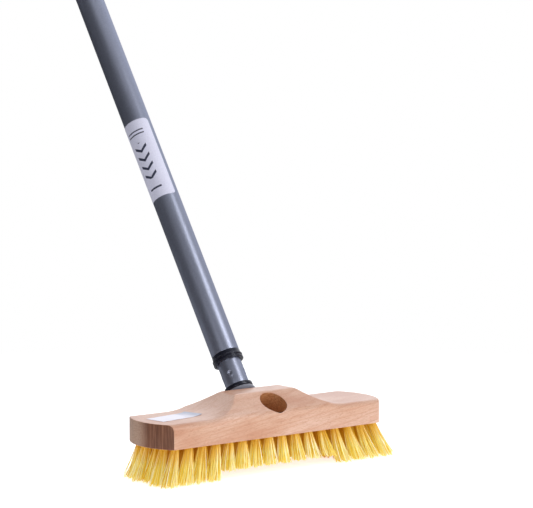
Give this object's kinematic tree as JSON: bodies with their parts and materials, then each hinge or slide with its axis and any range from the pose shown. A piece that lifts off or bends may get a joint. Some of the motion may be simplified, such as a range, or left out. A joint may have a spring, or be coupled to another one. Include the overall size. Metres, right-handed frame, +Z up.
{
  "type": "floor scrub brush",
  "caption": "Floor scrub brush: beech back with two sloping handle sockets, stiff yellow tufts with longer end beards, and a grey telescopic twist-lock handle.",
  "frame": {"origin": "in the plane of the middle tufts' trimmed tips, below the centre of the wooden back", "axes": "+Z up through the back, +X along the back, +Y to the side the handle leans to"},
  "size_m": [0.2532, 0.5768, 0.8182],
  "materials": {
    "beech": "matte",
    "fibre": "satin",
    "paper": "satin",
    "grey_plastic": "satin",
    "black_plastic": "satin",
    "nylon": "satin",
    "enamel": "satin",
    "steel": "satin",
    "grip_rubber": "matte"
  },
  "bodies": {
    "root": {"brush_block": "beech", "bristle_row_1": "fibre", "bristle_row_2": "fibre", "bristle_row_3": "fibre", "bristle_row_4": "fibre", "bristle_row_5": "fibre", "bristle_beard_left": "fibre", "bristle_beard_right": "fibre", "block_label": "paper", "handle_tip": "grey_plastic", "tip_ring": "black_plastic", "inner_tube": "enamel", "lock_plug": "nylon", "lock_washer": "steel", "lock_screw": "steel"},
    "lock": {"lock_sleeve": "black_plastic"},
    "cone": {"lock_cone": "nylon"},
    "upper_handle": {"outer_tube": "enamel", "guide_collar": "black_plastic", "handle_label": "paper", "hand_grip": "grip_rubber", "hanging_cap": "black_plastic"}
  },
  "joints": [
    {"name": "lock_twist", "type": "hinge", "parent": "root", "child": "lock", "pos_m": [0, 0.47929, 0.72443], "axis": [0, 0.5621, 0.8271], "range_deg": [0, 180]},
    {"name": "lock_cone_travel", "type": "slide", "parent": "lock", "child": "cone", "axis": [0, 0.5621, 0.8271], "range_m": [0, 0.0015]},
    {"name": "handle_extend", "type": "slide", "parent": "lock", "child": "upper_handle", "axis": [0, 0.5621, 0.8271], "range_m": [0, 0.68]}
  ],
  "couplings": [
    {"joint": "lock_cone_travel", "follows": "lock_twist", "m_per_rad": 0.00047746}
  ]
}
